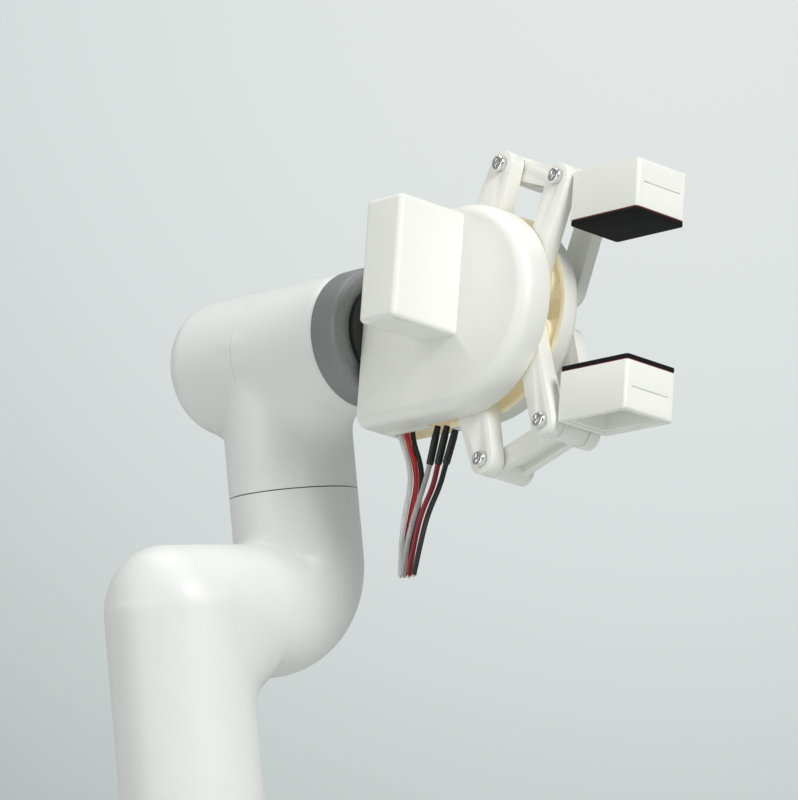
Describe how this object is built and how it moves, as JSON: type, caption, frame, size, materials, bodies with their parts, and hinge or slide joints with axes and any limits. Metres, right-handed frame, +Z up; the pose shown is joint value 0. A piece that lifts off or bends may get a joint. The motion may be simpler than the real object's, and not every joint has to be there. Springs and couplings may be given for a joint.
{
  "type": "robot arm",
  "caption": "Desktop six-axis robot arm with a two-finger parallel gripper, standing upright on a round base.",
  "frame": {"origin": "centre of the base's mounting face, on the turntable axis", "axes": "+Z up along the turntable axis, +X the way the gripper points at rest, +Y to the upper arm's side"},
  "size_m": [0.2354, 0.1569, 0.5054],
  "materials": {
    "arm_plastic": "satin",
    "gripper_plastic": "satin",
    "inner_plastic": "matte",
    "flange_grey": "satin",
    "black_plastic": "matte",
    "servo_case": "satin",
    "bearing_steel": "polished",
    "plate_steel": "satin",
    "chrome_screw": "polished",
    "pad_rubber": "matte",
    "foot_rubber": "matte",
    "board_green": "satin",
    "socket_metal": "satin",
    "button_red": "gloss",
    "lead_white": "satin",
    "lead_red": "satin",
    "lead_black": "satin"
  },
  "bodies": {
    "base": {"foot_ring": "foot_rubber", "base_plate": "plate_steel", "base_housing": "arm_plastic", "base_cover_screws": "chrome_screw", "rear_panel": "black_plastic", "power_socket": "black_plastic", "data_socket": "socket_metal", "control_board": "board_green", "base_servo": "servo_case", "base_bearing": "bearing_steel"},
    "power_button": {"power_button": "button_red"},
    "shoulder": {"base_output": "black_plastic", "shoulder_housing": "arm_plastic", "shoulder_cap": "arm_plastic", "shoulder_servo": "servo_case", "shoulder_bearing": "bearing_steel"},
    "upper_arm": {"shoulder_output": "black_plastic", "upper_arm_housing": "arm_plastic", "upper_arm_cover": "arm_plastic", "elbow_servo": "servo_case", "elbow_bearing": "bearing_steel"},
    "forearm": {"elbow_output": "black_plastic", "forearm_housing": "arm_plastic", "forearm_cover": "arm_plastic", "wrist_servo": "servo_case", "wrist_bearing": "bearing_steel"},
    "wrist": {"wrist_output": "black_plastic", "wrist_elbow": "arm_plastic", "yaw_servo": "servo_case", "yaw_bearing": "bearing_steel"},
    "tool_head": {"yaw_output": "black_plastic", "tool_housing": "arm_plastic", "tool_housing_cap": "arm_plastic", "tool_servo": "servo_case", "tool_bearing": "bearing_steel"},
    "gripper": {"flange_ring": "flange_grey", "flange_core": "black_plastic", "flange_screws": "chrome_screw", "gripper_front_shell": "gripper_plastic", "gripper_rear_shell": "gripper_plastic", "gripper_servo": "servo_case", "lead_white_a": "lead_white", "lead_red_a": "lead_red", "lead_black_a": "lead_black", "lead_white_b": "lead_white", "lead_red_b": "lead_red", "lead_black_b": "lead_black"},
    "upper_drive": {"servo_horn": "inner_plastic", "upper_drive_arm": "gripper_plastic"},
    "lower_drive": {"lower_drive_arm": "gripper_plastic"},
    "upper_follower": {"upper_follower_link": "gripper_plastic"},
    "lower_follower": {"lower_follower_link": "gripper_plastic"},
    "upper_finger": {"upper_finger": "gripper_plastic", "upper_finger_pad": "pad_rubber", "upper_pivot_screws": "chrome_screw"},
    "lower_finger": {"lower_finger": "gripper_plastic", "lower_finger_pad": "pad_rubber", "lower_pivot_screws": "chrome_screw"}
  },
  "joints": [
    {"name": "power_press", "type": "slide", "parent": "base", "child": "power_button", "axis": [1, 0, 0], "range_m": [0, 0.002], "stiffness_N_per_m": 300, "springref_m": -0.001},
    {"name": "base_turn", "type": "hinge", "parent": "base", "child": "shoulder", "pos_m": [0, 0, 0.0642], "axis": [0, 0, 1], "range_deg": [-165, 165]},
    {"name": "shoulder_lift", "type": "hinge", "parent": "shoulder", "child": "upper_arm", "pos_m": [0, 0.0295, 0.135], "axis": [0, 1, 0], "range_deg": [-130, 130]},
    {"name": "elbow_bend", "type": "hinge", "parent": "upper_arm", "child": "forearm", "pos_m": [0, 0.0295, 0.252], "axis": [0, -1, 0], "range_deg": [-115, 140]},
    {"name": "wrist_tilt", "type": "hinge", "parent": "forearm", "child": "wrist", "pos_m": [0, 0.0322, 0.361], "axis": [0, 1, 0], "range_deg": [-130, 85]},
    {"name": "wrist_turn", "type": "hinge", "parent": "wrist", "child": "tool_head", "pos_m": [0, 0.059, 0.4018], "axis": [0, 0, 1], "range_deg": [-50, 165]},
    {"name": "tool_turn", "type": "hinge", "parent": "tool_head", "child": "gripper", "pos_m": [0.0414, 0.059, 0.45], "axis": [1, 0, 0], "range_deg": [-175, 175]},
    {"name": "grip", "type": "hinge", "parent": "gripper", "child": "upper_drive", "pos_m": [0.09475, 0.06574, 0.46746], "axis": [0, 0.9763, -0.2164], "range_deg": [0, 56]},
    {"name": "grip_lower", "type": "hinge", "parent": "gripper", "child": "lower_drive", "pos_m": [0.09475, 0.05773, 0.43133], "axis": [0, 0.9763, -0.2164], "range_deg": [-56, 0]},
    {"name": "follow_upper", "type": "hinge", "parent": "gripper", "child": "upper_follower", "pos_m": [0.12235, 0.0637, 0.45828], "axis": [0, 0.9763, -0.2164], "range_deg": [0, 56]},
    {"name": "follow_lower", "type": "hinge", "parent": "gripper", "child": "lower_follower", "pos_m": [0.12235, 0.05976, 0.44051], "axis": [0, 0.9763, -0.2164], "range_deg": [-56, 0]},
    {"name": "finger_upper", "type": "hinge", "parent": "upper_drive", "child": "upper_finger", "pos_m": [0.1058, 0.07293, 0.49988], "axis": [0, 0.9763, -0.2164], "range_deg": [-56, 0]},
    {"name": "finger_lower", "type": "hinge", "parent": "lower_drive", "child": "lower_finger", "pos_m": [0.1058, 0.05054, 0.39891], "axis": [0, 0.9763, -0.2164], "range_deg": [0, 56]}
  ],
  "couplings": [
    {"joint": "grip_lower", "follows": "grip", "ratio": -1},
    {"joint": "follow_upper", "follows": "grip", "ratio": 1},
    {"joint": "follow_lower", "follows": "grip", "ratio": -1},
    {"joint": "finger_upper", "follows": "grip", "ratio": -1},
    {"joint": "finger_lower", "follows": "grip", "ratio": 1}
  ]
}
